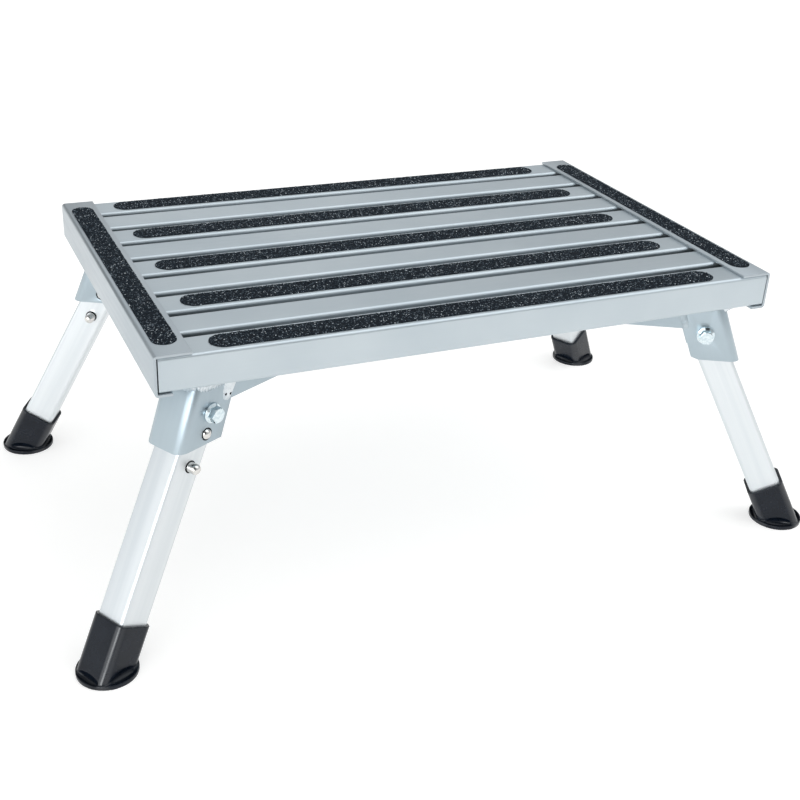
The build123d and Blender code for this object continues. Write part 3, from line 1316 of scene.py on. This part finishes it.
    def build(self, corner: Corner, tree: NodeShape) -> None:
        """Makes and seats one corner's bracket, brace and welds.

        Args:
            corner: Which corner.
            tree: The tree that lays a bead.
        """
        place = self.hinge.place(corner)
        upright = Matrix.Rotation(math.radians(90 + self.lean), 4, "Y")
        for node, how, mesh, drawn in (
            (f"bracket_{corner.label}", "bent", self.u_sheet(), upright),
            (f"brace_{corner.label}", "folded", self.brace(), STAY),
        ):
            Piece(f"{node}_{how}", mesh, BRACKET_COAT, Slot.BRACKET, PLATFORM, (node,), place, drawn).seat()
        for number, seam in enumerate(self.seams(corner)):
            # The smaller welds take the darker copy of the coat, as painted shade.
            finish = WELD_COAT if seam.out > self.bright_over else SHADED_WELD_COAT
            line = bpy.data.meshes.new("seam")
            line.from_pydata(seam.points, [(i, i + 1) for i in range(len(seam.points) - 1)], [])
            shares = {"Out": seam.out, "Down": seam.down, "Hollow": seam.hollow, "Lump": seam.lump}
            ripples = {"Ripple": self.ripple, "Swell": seam.swell, "Seed": 10.0 * corner.seed + number}
            mesh = tree.run(finish, shares | ripples, line)
            if seam.pits:
                holes = [egg(Matrix.Translation(pit) @ Matrix.Scale(self.pit_radius, 4)) for pit in seam.pits]
                # The pits' walls are dark as painted shade.
                mesh = cut(mesh, holes, skins=(finish, HOLE_SHADE))
            name = f"weld_{seam.name}_{corner.label}"
            Piece(name, mesh, finish, Slot.BRACKET, PLATFORM, (), place, crease=70.0).seat()


@dataclass
class Fasteners:
    """The pivot bolt with its flanged hex head, and the lock nut with a nylon ring."""

    hinge: Hinge
    flats: float = 10.0
    shave: float = 0.55
    shave_run: float = 1.0
    head_height: float = 6.6
    flange: float = 14.2
    flange_edge: float = 1.2
    flange_slope: float = 25.0
    nut_height: float = 4.6
    collar_height: float = 1.4
    collar: float = 8.9
    collar_lap: float = 0.2
    collar_round: float = 0.6
    ring_wall: float = 0.6
    ring_play: float = 0.05
    ring_lap: float = 0.1
    ring_sunk: float = 0.35
    tail: float = 2.0
    point: float = 0.8
    thread_start: float = 1.0
    thread_pitch: float = 1.0
    thread_depth: float = 0.55
    thread_turns: int = 6
    crease: float = 25.0

    def hexagon(self, height: float) -> Mesh:
        """Makes a hexagon bar along Z with its upper corners turned off.

        Args:
            height: Its height above 0.

        Returns:
            The bar's mesh.
        """
        radius = self.flats / 2 / math.cos(math.radians(30))
        bar = Blank().turned([(radius, 0.0), (radius, height)], 6).mesh()
        # A hair wider than the corners, so that the sides stay as they are.
        wide = radius + 0.01
        chamfer = [(wide, 0.0), (wide, height - self.shave), (radius - self.shave_run, height)]
        return cut(bar, [Blank().turned(chamfer, 72).mesh()], "INTERSECT")

    def bolt(self) -> Mesh:
        """Makes the bolt along Y, with its head on the button side.

        Returns:
            The bolt's mesh in the hinge's frame.
        """
        outside = self.hinge.flange_outside
        end = outside + self.nut_height + self.collar_height + self.tail
        under_head = Matrix.Translation((0, outside, 0)) @ ALONG_Y
        head = eased(self.hexagon(self.head_height), STEEL_EDGE, self.crease)
        head.transform(under_head)
        edge = self.flange / 2
        rise = (edge - self.flats / 2) * math.tan(math.radians(self.flange_slope))
        skirt = [
            (edge - 0.15, 0.0),
            (edge, 0.15),
            (edge, self.flange_edge - 0.35),
            (edge - 0.12, self.flange_edge - 0.1),
            (edge - 0.4, self.flange_edge + 0.05),
            (self.flats / 2, self.flange_edge + rise),
        ]
        radius = self.hinge.bolt / 2
        shank = [(radius - self.point, -end), (radius - 0.05, -end + self.point)]
        for turn in range(self.thread_turns):
            z = -end + self.thread_start + turn * self.thread_pitch
            valley = (radius - self.thread_depth, z + 0.5 * self.thread_pitch)
            shank += [valley, (radius, z + self.thread_pitch)]
        shank.append((radius, outside + 0.2))
        flange = Blank().turned(skirt, 64, under_head).mesh()
        return joined(head, flange, Blank().turned(shank, 40, ALONG_Y).mesh())

    def nut(self) -> Mesh:
        """Makes the lock nut, standing on the face that meets the bracket.

        Returns:
            The nut's mesh, not yet on the bolt.
        """
        bore = self.hinge.bolt / 2 + PLAY
        drill = Blank().turned([(bore, -self.nut_height), (bore, 2 * self.nut_height)]).mesh()
        body = eased(cut(self.hexagon(self.nut_height), [drill]), STEEL_EDGE, self.crease)
        low, top = self.nut_height - self.collar_lap, self.nut_height + self.collar_height
        outer, inner = self.collar / 2, bore + self.ring_wall
        lip = [(outer, top - self.collar_round), (outer - 0.2, top - 0.2), (outer - self.collar_round, top)]
        collar = Blank().turned([(outer, low), *lip, (inner, top), (inner, low)], ring=True).mesh()
        return joined(body, collar)

    def ring(self) -> Mesh:
        """Makes the nylon ring in the nut's collar.

        Returns:
            The ring's mesh, in the nut as it stands.
        """
        inner = self.hinge.bolt / 2 + self.ring_play
        outer = inner + self.ring_wall
        low = self.nut_height - self.ring_lap
        high = self.nut_height + self.collar_height - self.ring_sunk
        section = [(outer, low), (outer, high), (inner, high), (inner, low)]
        return Blank().turned(section, 40, ring=True).mesh()

    def build(self, corner: Corner) -> None:
        """Makes and seats one corner's bolt and nut.

        Args:
            corner: Which corner.
        """
        place = self.hinge.place(corner) @ (STAY if corner.head_side > 0 else HALF_TURN)
        outside = Matrix.Translation((0, -self.hinge.flange_outside, 0))
        end = place @ outside @ Matrix.Rotation(QUARTER, 4, "X")
        for kind, mesh, spot in (("pivot_bolt", self.bolt(), place), ("lock_nut", self.nut(), end)):
            node = f"{kind}_{corner.label}"
            Piece(f"{node}_turned", mesh, ZINC, Slot.ZINC, PLATFORM, (node,), spot, crease=self.crease).seat()
        Piece(f"nut_ring_{corner.label}", self.ring(), NYLON, Slot.WASHER, PLATFORM, (), end).seat()


@dataclass
class Leg:
    """A folding leg: the square tube, its sprung buttons and the rubber boot."""

    hinge: Hinge
    wall: float = 2.0
    corner_round: float = 3.0
    inner_round: float = 0.4
    above_pivot: float = 11.0
    boot_sole: float = 11.5
    button: float = 7.5
    button_play: float = 0.85
    lock_proud: float = 2.6
    release_proud: float = 8.5
    dome: float = 2.3
    dome_steps: int = 12
    strip: float = 0.8
    strip_width: float = 12.0
    strip_margin: float = 7.0
    boot_inset: float = 2.3
    boot_voxel: float = 0.4
    boot_share: float = 0.2
    hollow_reach: float = 20.6
    hollow_length: float = 11.5
    hollow_rise: float = 3.8
    hollow_height: float = 4.6
    # The hollows that the leg leans over are shallower than the two beside it.
    hollow_depths: Pair = (2.7, 3.7)
    wear_start: float = 9.5
    wear_full: float = 12.0

    @property
    def inside(self) -> float:
        """Half the room inside the tube."""
        return self.hinge.leg_size / 2 - self.wall

    def square(self, half: float, radius: float) -> list[Pair]:
        """A closed square of half a size with round corners, as its points once round."""
        turns = [(x * half, y * half, radius) for x, y in ((1, -1), (1, 1), (-1, 1), (-1, -1))]
        return rounded_path([(0, -half, 0), *turns, (0, -half, 0)])[:-1]

    def tube(self) -> Mesh:
        """Draws the tube straight down from the pivot, with the bolt's and buttons' holes.

        Returns:
            The tube's mesh, not yet leaned.
        """
        hinge = self.hinge
        low = self.boot_sole - hinge.leg_reach
        walls = [
            [(Vector((x, y, low)), Vector((x, y, self.above_pivot))) for x, y in self.square(half, radius)]
            for half, radius in ((hinge.leg_size / 2, self.corner_round), (self.inside, self.inner_round))
        ]
        drills = [turned_bar(hinge.bolt / 2 + PLAY, -hinge.leg_size, hinge.leg_size)]
        for drop in (hinge.lock_drop, hinge.release_drop):
            drills.append(turned_bar(self.button / 2 + self.button_play, 0, hinge.leg_size))
            drills[-1].transform(hinge.beside(drop))
        # The holes' walls take the dark finish as painted shade.
        drawn = cut(Blank().sheet(*walls, closed=True).mesh(), drills, skins=(LEG_TUBE, HOLE_SHADE))
        return eased(drawn, TUBE_EDGE)

    def spring_strip(self) -> Mesh:
        """Makes the sprung strip that carries the buttons.

        Returns:
            Its mesh, not yet leaned.
        """
        start = self.hinge.lock_drop - self.strip_margin
        end = self.hinge.release_drop + self.strip_margin
        half = self.strip_width / 2
        back = self.inside - self.strip
        outline = [(-half, back), (half, back), (half, self.inside), (-half, self.inside)]
        return Blank().loft([[Vector((x, y, z)) for x, y in outline] for z in (-end, -start)]).mesh()

    def buttons(self) -> Mesh:
        """Makes the lock and release buttons.

        Returns:
            Their mesh, not yet leaned.
        """
        hinge = self.hinge
        blank = Blank()
        radius = self.button / 2
        ball = (radius**2 + self.dome**2) / (2 * self.dome)
        rim = math.asin(radius / ball)
        angles = [rim * (1 - step / self.dome_steps) for step in range(self.dome_steps + 1)]
        for drop, tip in (
            (hinge.lock_drop, hinge.flange_outside + self.lock_proud),
            (hinge.release_drop, hinge.leg_size / 2 + self.release_proud),
        ):
            dome = [(max(ball * math.sin(a), 0.02), tip - ball + ball * math.cos(a)) for a in angles]
            blank.turned([(radius, self.inside - self.strip / 2), *dome], 48, hinge.beside(drop) @ ALONG_Y)
        return blank.mesh()

    def hollows(self, corner: Corner) -> list[Mesh]:
        """Makes the tools for the hollows between the boot's square sleeve and its round rim.

        Args:
            corner: Which corner.

        Returns:
            An egg for each side of the sleeve, in the frame's own place.
        """
        hinge = self.hinge
        foot = hinge.pivot_z * math.tan(math.radians(hinge.leg_lean)) - self.boot_inset
        middle = hinge.place(corner) @ Matrix.Translation((foot, 0, self.hollow_height - hinge.pivot_z))
        eggs = []
        for quarter, depth in enumerate(self.hollow_depths * 2):
            turn = Matrix.Rotation(QUARTER * quarter, 4, "Z")
            out = Matrix.Translation((self.hollow_reach - depth, 0, 0))
            size = Matrix.Diagonal((depth, self.hollow_length, self.hollow_rise, 1.0))
            eggs.append(egg(middle @ turn @ out @ size))
        return eggs

    def boot(self, corner: Corner) -> Mesh:
        """Softens the boot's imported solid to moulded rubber, with its hollows and every edge run together.

        Args:
            corner: Which corner.

        Returns:
            The boot's mesh in millimetres, in the frame's own place.
        """
        work = bmesh.new()
        work.from_mesh(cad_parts[f"boot_{corner.label}"].data)
        bmesh.ops.remove_doubles(work, verts=work.verts, dist=1e-6)
        bmesh.ops.scale(work, vec=(1 / MM,) * 3, verts=work.verts)
        moulded = worked(
            cut(filled(work), self.hollows(corner)),
            ("REMESH", {"mode": "VOXEL", "voxel_size": self.boot_voxel}),
            ("SMOOTH", {"factor": 0.5, "iterations": 2}),
            ("DECIMATE", {"ratio": self.boot_share}),
        )
        self.wear(moulded, corner)
        return moulded

    def wear(self, boot: Mesh, corner: Corner) -> None:
        """Marks the ridges of a boot's sleeve, which are rubbed shiny.

        Args:
            boot: The boot's mesh in millimetres, in the frame's own place.
            corner: Which corner.
        """
        to_leg = (self.hinge.place(corner) @ self.hinge.leaned).inverted()
        worn = boot.attributes.new(WEAR, "FLOAT", "POINT")
        for vertex, mark in zip(boot.vertices, worn.data):
            spot = to_leg @ vertex.co
            nearness = (min(abs(spot.x), abs(spot.y)) - self.wear_start) / (self.wear_full - self.wear_start)
            mark.value = min(max(nearness, 0.0), 1.0)

    def build(self, corner: Corner) -> None:
        """Makes and seats one corner's leg, and dresses the pieces of it that stay as packed.

        Args:
            corner: Which corner.
        """
        place = self.hinge.place(corner) @ self.hinge.leaned
        along = Matrix.Rotation(QUARTER, 4, "Y")
        label = corner.label
        leg, button = f"leg_{label}", f"button_{label}"
        tube, strip, boot = f"leg_tube_{label}", f"button_strip_{label}", f"boot_{label}"
        Piece(f"{tube}_drawn", self.tube(), LEG_TUBE, Slot.LEG, leg, (tube,), place, along).seat()
        Piece(f"{strip}_sprung", self.spring_strip(), SPRING, Slot.BUTTON, button, (strip,), place).seat()
        Piece(f"buttons_{label}", self.buttons(), NICKEL, Slot.BUTTON, button, (), place).seat()
        Piece(f"{boot}_moulded", self.boot(corner), RUBBER, Slot.BOOT, leg, (boot,), crease=80.0).seat()
        for node, finish in ((f"hinge_washers_{label}", NYLON), (f"back_spring_{label}", SPRING)):
            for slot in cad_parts[node].material_slots:
                slot.material = finish.material()


@dataclass(frozen=True)
class Panel:
    """A soft panel of light in the room: where it is, the cosines at its edge and middle, its strength."""

    toward: tuple[float, float, float]
    edge: float
    middle: float
    strength: float


# A wide panel above on the right, fills behind, on the left and on the right, and a bright lamp in a soft
# card in front. Those with a strength below 0 are the dark parts of the room: two behind, one in front.
PANELS = (
    Panel((0.5, -0.12, 0.86), 0.72, 0.95, 1.3),
    Panel((0.35, 0.82, 0.45), 0.8, 0.98, 0.35),
    Panel((0.66, 0.68, 0.31), 0.91, 0.995, -0.28),
    Panel((-0.97, 0.15, 0.1), 0.75, 0.97, 0.5),
    Panel((-0.78, -0.6, 0.14), 0.8, 0.93, 2.4),
    Panel((-0.6, -0.79, 0.12), 0.982, 0.994, 7.0),
    Panel((0.9, -0.42, 0.0), 0.7, 0.95, 0.3),
    Panel((-0.45, 0.88, 0.05), 0.72, 0.98, -0.35),
    Panel((-0.38, -0.75, 0.54), 0.8, 0.93, -0.42),
)


@dataclass
class Studio:
    """The plain pale floor, the soft light and the camera."""

    target: tuple[float, float, float] = (-116.84, -256.84, 223.53)
    distance: float = 731.81
    azimuth: float = -25.17
    elevation: float = 27.255
    roll: float = 2.91
    lens: float = 55.51
    sensor: float = 36.0
    floor_radius: float = 40.0
    room: float = 0.5
    daylight: str = "#F6F9FB"

    def camera(self) -> None:
        """Makes the camera at the photograph's angle."""
        a, e, r = (math.radians(v) for v in (self.azimuth, self.elevation, self.roll))
        back = Vector((math.sin(a) * math.cos(e), -math.cos(a) * math.cos(e), math.sin(e)))
        right = Vector((0, 0, 1)).cross(back).normalized()
        up = back.cross(right)
        across = right * math.cos(r) + up * math.sin(r)
        above = up * math.cos(r) - right * math.sin(r)
        data = bpy.data.cameras.new("camera")
        data.sensor_width, data.lens, data.clip_start = self.sensor, self.lens, 0.01
        obj = bpy.data.objects.new("camera", data)
        spot = (Vector(self.target) + back * self.distance) * MM
        obj.matrix_world = Matrix.Translation(spot) @ Matrix((across, above, back)).transposed().to_4x4()
        bpy.context.scene.collection.objects.link(obj)
        bpy.context.scene.camera = obj

    def floor(self) -> None:
        """Lays a round pale floor under the step."""
        work = bmesh.new()
        bmesh.ops.create_circle(work, cap_ends=True, radius=self.floor_radius, segments=64)
        mesh = filled(work)
        mesh.materials.append(FLOOR_PAPER.material())
        obj = bench(mesh, "floor")
        obj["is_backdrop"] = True

    def light(self) -> None:
        """Lights the room evenly, with each panel added to it."""
        scene = bpy.context.scene
        scene.view_settings.view_transform = "Standard"
        scene.world = bpy.data.worlds.new("studio")
        scene.world.use_nodes = True
        tree = scene.world.node_tree
        tree.nodes.clear()
        heading = add_node(tree, "ShaderNodeTexCoord", out="Generated")
        total: float | Socket = self.room
        for panel in PANELS:
            ways = {0: heading, 1: Vector(panel.toward).normalized()}
            facing = add_node(tree, "ShaderNodeVectorMath", ways, operation="DOT_PRODUCT")
            ends = {"From Min": panel.edge, "From Max": panel.middle, "To Min": 0.0, "To Max": panel.strength}
            reach = {"Value": facing} | ends
            glow = add_node(tree, "ShaderNodeMapRange", reach, interpolation_type="SMOOTHSTEP")
            total = add_node(tree, "ShaderNodeMath", {0: glow, 1: total}, operation="ADD")
        lit = add_node(tree, "ShaderNodeBackground", {"Color": linear(self.daylight), "Strength": total})
        add_node(tree, "ShaderNodeOutputWorld", {"Surface": lit})

    def build(self) -> None:
        """Sets up camera, floor and light."""
        self.camera()
        self.floor()
        self.light()


def main() -> None:
    """Builds the step's looks piece by piece, then the studio."""
    packed_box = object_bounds()
    deck = Deck()
    deck.build()
    GritStrips(deck).build()
    hinge = Hinge(deck)
    bracket = Bracket(hinge)
    beads = bracket.bead_tree()
    fasteners = Fasteners(hinge)
    leg = Leg(hinge)
    for corner in Corner:
        bracket.build(corner, beads)
        fasteners.build(corner)
        leg.build(corner)
    Studio().build()
    boxes = {"cad": packed_box, "visual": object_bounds()}
    {name: [list(corner) for corner in box] for name, box in boxes.items()}


if __name__ == "__main__":
    main()
